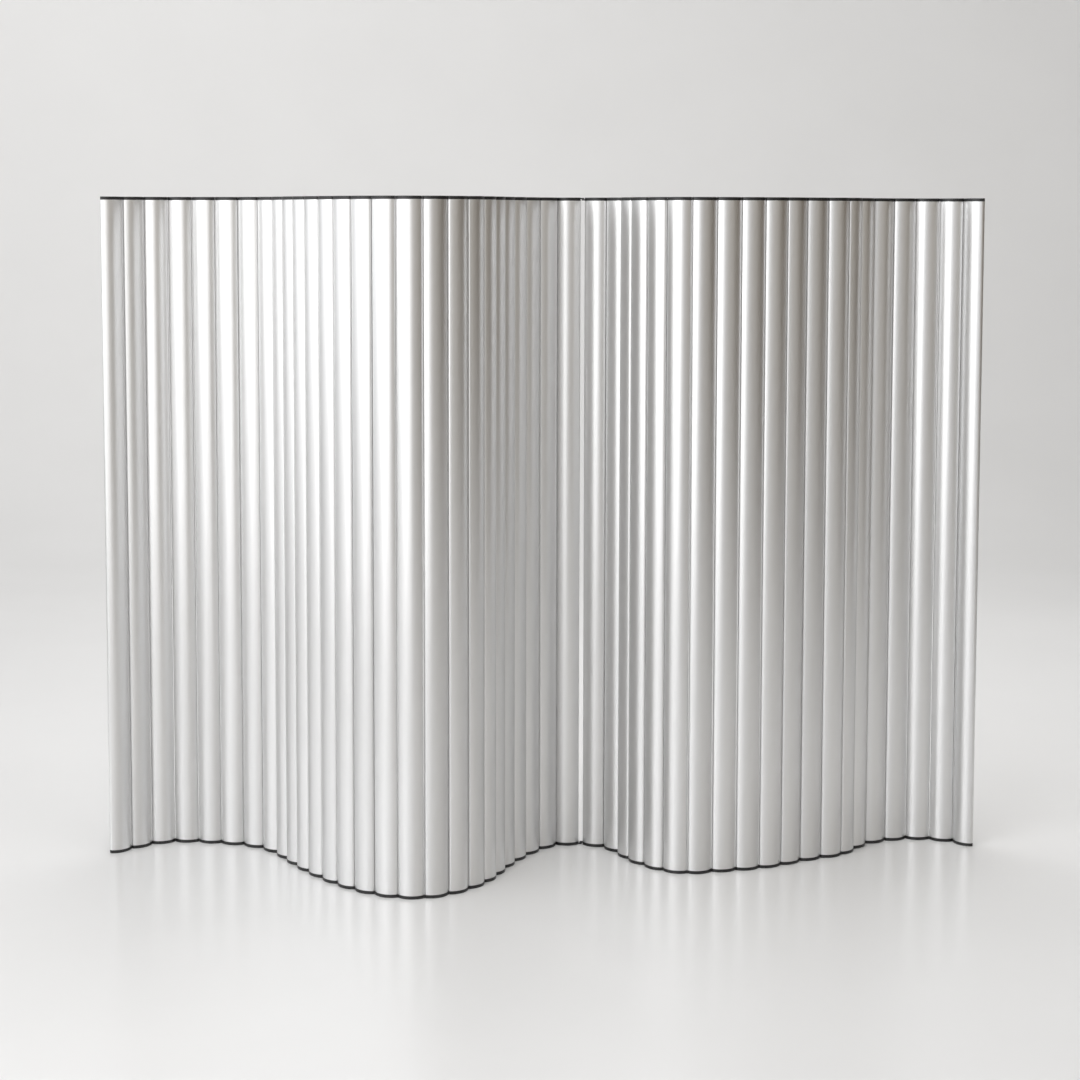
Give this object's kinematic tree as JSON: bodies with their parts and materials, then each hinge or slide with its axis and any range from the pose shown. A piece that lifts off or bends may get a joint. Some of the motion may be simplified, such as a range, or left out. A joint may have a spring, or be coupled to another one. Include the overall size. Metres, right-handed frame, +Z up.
{
  "type": "folding screen",
  "caption": "Free-standing wavy room divider: upright oval aluminium tubes with flush black end caps, hinged edge to edge so the row takes any curve and draws together for storage.",
  "frame": {"origin": "on the floor, under the middle of the standing row's outer box", "axes": "+X from the left end to the right end as seen from the front, +Y towards the back, +Z up"},
  "size_m": [1.9944, 0.4716, 1.5],
  "materials": {
    "tube": "satin",
    "cap": "satin black moulding",
    "pin": "ground steel"
  },
  "bodies": {
    "slat_body_01": {"tube_01": "tube", "caps_01": "cap", "pins_01": "pin"},
    "slat_body_02": {"slat_02": "tube"},
    "slat_body_03": {"slat_03": "tube"},
    "slat_body_04": {"slat_04": "tube"},
    "slat_body_05": {"slat_05": "tube"},
    "slat_body_06": {"slat_06": "tube"},
    "slat_body_07": {"slat_07": "tube"},
    "slat_body_08": {"slat_08": "tube"},
    "slat_body_09": {"slat_09": "tube"},
    "slat_body_10": {"slat_10": "tube"},
    "slat_body_11": {"slat_11": "tube"},
    "slat_body_12": {"slat_12": "tube"},
    "slat_body_13": {"slat_13": "tube"},
    "slat_body_14": {"slat_14": "tube"},
    "slat_body_15": {"slat_15": "tube"},
    "slat_body_16": {"slat_16": "tube"},
    "slat_body_17": {"slat_17": "tube"},
    "slat_body_18": {"slat_18": "tube"},
    "slat_body_19": {"slat_19": "tube"},
    "slat_body_20": {"slat_20": "tube"},
    "slat_body_21": {"slat_21": "tube"},
    "slat_body_22": {"slat_22": "tube"},
    "slat_body_23": {"slat_23": "tube"},
    "slat_body_24": {"tube_24": "tube", "caps_24": "cap", "pins_24": "pin"},
    "slat_body_25": {"slat_25": "tube"},
    "slat_body_26": {"slat_26": "tube"},
    "slat_body_27": {"tube_27": "tube", "caps_27": "cap", "pins_27": "pin"},
    "slat_body_28": {"tube_28": "tube", "caps_28": "cap", "pins_28": "pin"},
    "slat_body_29": {"slat_29": "tube"},
    "slat_body_30": {"slat_30": "tube"},
    "slat_body_31": {"slat_31": "tube"},
    "slat_body_32": {"slat_32": "tube"},
    "slat_body_33": {"slat_33": "tube"},
    "slat_body_34": {"slat_34": "tube"},
    "slat_body_35": {"slat_35": "tube"},
    "slat_body_36": {"slat_36": "tube"},
    "slat_body_37": {"slat_37": "tube"},
    "slat_body_38": {"slat_38": "tube"},
    "slat_body_39": {"slat_39": "tube"},
    "slat_body_40": {"slat_40": "tube"},
    "slat_body_41": {"slat_41": "tube"},
    "slat_body_42": {"slat_42": "tube"},
    "slat_body_43": {"slat_43": "tube"},
    "slat_body_44": {"slat_44": "tube"},
    "slat_body_45": {"slat_45": "tube"},
    "slat_body_46": {"slat_46": "tube"},
    "slat_body_47": {"tube_47": "tube", "caps_47": "cap"}
  },
  "joints": [
    {"name": "hinge_01_02", "type": "hinge", "parent": "slat_body_02", "child": "slat_body_01", "pos_m": [-0.95453, 0.14019, 0.0035], "axis": [0, 0, -1], "range_deg": [-52, 48]},
    {"name": "hinge_02_03", "type": "hinge", "parent": "slat_body_03", "child": "slat_body_02", "pos_m": [-0.91425, 0.17909, 0.0035], "axis": [0, 0, -1], "range_deg": [-28, 72]},
    {"name": "hinge_03_04", "type": "hinge", "parent": "slat_body_04", "child": "slat_body_03", "pos_m": [-0.86233, 0.20007, 0.0035], "axis": [0, 0, -1], "range_deg": [-26, 74]},
    {"name": "hinge_04_05", "type": "hinge", "parent": "slat_body_05", "child": "slat_body_04", "pos_m": [-0.80636, 0.19812, 0.0035], "axis": [0, 0, -1], "range_deg": [-40, 60]},
    {"name": "hinge_05_06", "type": "hinge", "parent": "slat_body_06", "child": "slat_body_05", "pos_m": [-0.75158, 0.18647, 0.0035], "axis": [0, 0, -1], "range_deg": [-48, 52]},
    {"name": "hinge_06_07", "type": "hinge", "parent": "slat_body_07", "child": "slat_body_06", "pos_m": [-0.69725, 0.17292, 0.0035], "axis": [0, 0, 1], "range_deg": [-64, 36]},
    {"name": "hinge_07_08", "type": "hinge", "parent": "slat_body_08", "child": "slat_body_07", "pos_m": [-0.6478, 0.14663, 0.0035], "axis": [0, 0, 1], "range_deg": [-68, 32]},
    {"name": "hinge_08_09", "type": "hinge", "parent": "slat_body_09", "child": "slat_body_08", "pos_m": [-0.6089, 0.10635, 0.0035], "axis": [0, 0, 1], "range_deg": [-64, 36]},
    {"name": "hinge_09_10", "type": "hinge", "parent": "slat_body_10", "child": "slat_body_09", "pos_m": [-0.5809, 0.05785, 0.0035], "axis": [0, 0, 1], "range_deg": [-50, 50]},
    {"name": "hinge_10_11", "type": "hinge", "parent": "slat_body_11", "child": "slat_body_10", "pos_m": [-0.5529, 0.00936, 0.0035], "axis": [0, 0, 1], "range_deg": [-48, 52]},
    {"name": "hinge_11_12", "type": "hinge", "parent": "slat_body_12", "child": "slat_body_11", "pos_m": [-0.52323, -0.03813, 0.0035], "axis": [0, 0, -1], "range_deg": [-56, 44]},
    {"name": "hinge_12_13", "type": "hinge", "parent": "slat_body_13", "child": "slat_body_12", "pos_m": [-0.48875, -0.08226, 0.0035], "axis": [0, 0, -1], "range_deg": [-52, 48]},
    {"name": "hinge_13_14", "type": "hinge", "parent": "slat_body_14", "child": "slat_body_13", "pos_m": [-0.45275, -0.12516, 0.0035], "axis": [0, 0, -1], "range_deg": [-56, 44]},
    {"name": "hinge_14_15", "type": "hinge", "parent": "slat_body_15", "child": "slat_body_14", "pos_m": [-0.41247, -0.16406, 0.0035], "axis": [0, 0, -1], "range_deg": [-58, 42]},
    {"name": "hinge_15_16", "type": "hinge", "parent": "slat_body_16", "child": "slat_body_15", "pos_m": [-0.36716, -0.19698, 0.0035], "axis": [0, 0, -1], "range_deg": [-62, 38]},
    {"name": "hinge_16_17", "type": "hinge", "parent": "slat_body_17", "child": "slat_body_16", "pos_m": [-0.31601, -0.21976, 0.0035], "axis": [0, 0, 1], "range_deg": [-30, 70]},
    {"name": "hinge_17_18", "type": "hinge", "parent": "slat_body_18", "child": "slat_body_17", "pos_m": [-0.26014, -0.22366, 0.0035], "axis": [0, 0, 1], "range_deg": [-20, 80]},
    {"name": "hinge_18_19", "type": "hinge", "parent": "slat_body_19", "child": "slat_body_18", "pos_m": [-0.20981, -0.19911, 0.0035], "axis": [0, 0, 1], "range_deg": [-34, 66]},
    {"name": "hinge_19_20", "type": "hinge", "parent": "slat_body_20", "child": "slat_body_19", "pos_m": [-0.16819, -0.16164, 0.0035], "axis": [0, 0, 1], "range_deg": [-38, 62]},
    {"name": "hinge_20_21", "type": "hinge", "parent": "slat_body_21", "child": "slat_body_20", "pos_m": [-0.13528, -0.11634, 0.0035], "axis": [0, 0, 1], "range_deg": [-38, 62]},
    {"name": "hinge_21_22", "type": "hinge", "parent": "slat_body_22", "child": "slat_body_21", "pos_m": [-0.1125, -0.06518, 0.0035], "axis": [0, 0, -1], "range_deg": [-56, 44]},
    {"name": "hinge_22_23", "type": "hinge", "parent": "slat_body_23", "child": "slat_body_22", "pos_m": [-0.0952, -0.01192, 0.0035], "axis": [0, 0, -1], "range_deg": [-44, 56]},
    {"name": "hinge_23_24", "type": "hinge", "parent": "slat_body_24", "child": "slat_body_23", "pos_m": [-0.07242, 0.03924, 0.0035], "axis": [0, 0, -1], "range_deg": [-46, 54]},
    {"name": "hinge_24_25", "type": "hinge", "parent": "slat_body_24", "child": "slat_body_25", "pos_m": [-0.04613, 0.08868, 0.0035], "axis": [0, 0, 1], "range_deg": [-44, 56]},
    {"name": "hinge_25_26", "type": "hinge", "parent": "slat_body_25", "child": "slat_body_26", "pos_m": [-0.01481, 0.13511, 0.0035], "axis": [0, 0, 1], "range_deg": [-38, 62]},
    {"name": "hinge_26_27", "type": "hinge", "parent": "slat_body_26", "child": "slat_body_27", "pos_m": [0.02547, 0.17401, 0.0035], "axis": [0, 0, -1], "range_deg": [-90, 10]},
    {"name": "hinge_27_28", "type": "hinge", "parent": "slat_body_27", "child": "slat_body_28", "pos_m": [0.08532, 0.1782, 0.0035], "axis": [0, 0, -1], "range_deg": [-76, 24]},
    {"name": "hinge_28_29", "type": "hinge", "parent": "slat_body_28", "child": "slat_body_29", "pos_m": [0.14096, 0.15572, 0.0035], "axis": [0, 0, -1], "range_deg": [-82, 18]},
    {"name": "hinge_29_30", "type": "hinge", "parent": "slat_body_29", "child": "slat_body_30", "pos_m": [0.17387, 0.11042, 0.0035], "axis": [0, 0, -1], "range_deg": [-66, 34]},
    {"name": "hinge_30_31", "type": "hinge", "parent": "slat_body_30", "child": "slat_body_31", "pos_m": [0.19302, 0.05779, 0.0035], "axis": [0, 0, -1], "range_deg": [-34, 66]},
    {"name": "hinge_31_32", "type": "hinge", "parent": "slat_body_31", "child": "slat_body_32", "pos_m": [0.22594, 0.01249, 0.0035], "axis": [0, 0, 1], "range_deg": [-58, 42]},
    {"name": "hinge_32_33", "type": "hinge", "parent": "slat_body_32", "child": "slat_body_33", "pos_m": [0.26484, -0.02779, 0.0035], "axis": [0, 0, 1], "range_deg": [-74, 26]},
    {"name": "hinge_33_34", "type": "hinge", "parent": "slat_body_33", "child": "slat_body_34", "pos_m": [0.31676, -0.04877, 0.0035], "axis": [0, 0, 1], "range_deg": [-86, 14]},
    {"name": "hinge_34_35", "type": "hinge", "parent": "slat_body_34", "child": "slat_body_35", "pos_m": [0.3711, -0.03523, 0.0035], "axis": [0, 0, 1], "range_deg": [-48, 52]},
    {"name": "hinge_35_36", "type": "hinge", "parent": "slat_body_35", "child": "slat_body_36", "pos_m": [0.42588, -0.02358, 0.0035], "axis": [0, 0, 1], "range_deg": [-54, 46]},
    {"name": "hinge_36_37", "type": "hinge", "parent": "slat_body_36", "child": "slat_body_37", "pos_m": [0.47971, -0.00815, 0.0035], "axis": [0, 0, -1], "range_deg": [-42, 58]},
    {"name": "hinge_37_38", "type": "hinge", "parent": "slat_body_37", "child": "slat_body_38", "pos_m": [0.53087, 0.01463, 0.0035], "axis": [0, 0, -1], "range_deg": [-40, 60]},
    {"name": "hinge_38_39", "type": "hinge", "parent": "slat_body_38", "child": "slat_body_39", "pos_m": [0.57729, 0.04595, 0.0035], "axis": [0, 0, -1], "range_deg": [-58, 42]},
    {"name": "hinge_39_40", "type": "hinge", "parent": "slat_body_39", "child": "slat_body_40", "pos_m": [0.62762, 0.07049, 0.0035], "axis": [0, 0, -1], "range_deg": [-52, 48]},
    {"name": "hinge_40_41", "type": "hinge", "parent": "slat_body_40", "child": "slat_body_41", "pos_m": [0.67878, 0.09327, 0.0035], "axis": [0, 0, -1], "range_deg": [-20, 80]},
    {"name": "hinge_41_42", "type": "hinge", "parent": "slat_body_41", "child": "slat_body_42", "pos_m": [0.7117, 0.13858, 0.0035], "axis": [0, 0, 1], "range_deg": [-48, 52]},
    {"name": "hinge_42_43", "type": "hinge", "parent": "slat_body_42", "child": "slat_body_43", "pos_m": [0.74618, 0.18271, 0.0035], "axis": [0, 0, 1], "range_deg": [-24, 76]},
    {"name": "hinge_43_44", "type": "hinge", "parent": "slat_body_43", "child": "slat_body_44", "pos_m": [0.79651, 0.20725, 0.0035], "axis": [0, 0, 1], "range_deg": [-42, 58]},
    {"name": "hinge_44_45", "type": "hinge", "parent": "slat_body_44", "child": "slat_body_45", "pos_m": [0.84977, 0.22456, 0.0035], "axis": [0, 0, 1], "range_deg": [-26, 74]},
    {"name": "hinge_45_46", "type": "hinge", "parent": "slat_body_45", "child": "slat_body_46", "pos_m": [0.90546, 0.21871, 0.0035], "axis": [0, 0, 1], "range_deg": [-36, 64]},
    {"name": "hinge_46_47", "type": "hinge", "parent": "slat_body_46", "child": "slat_body_47", "pos_m": [0.95808, 0.19955, 0.0035], "axis": [0, 0, -1], "range_deg": [-78, 22]}
  ]
}
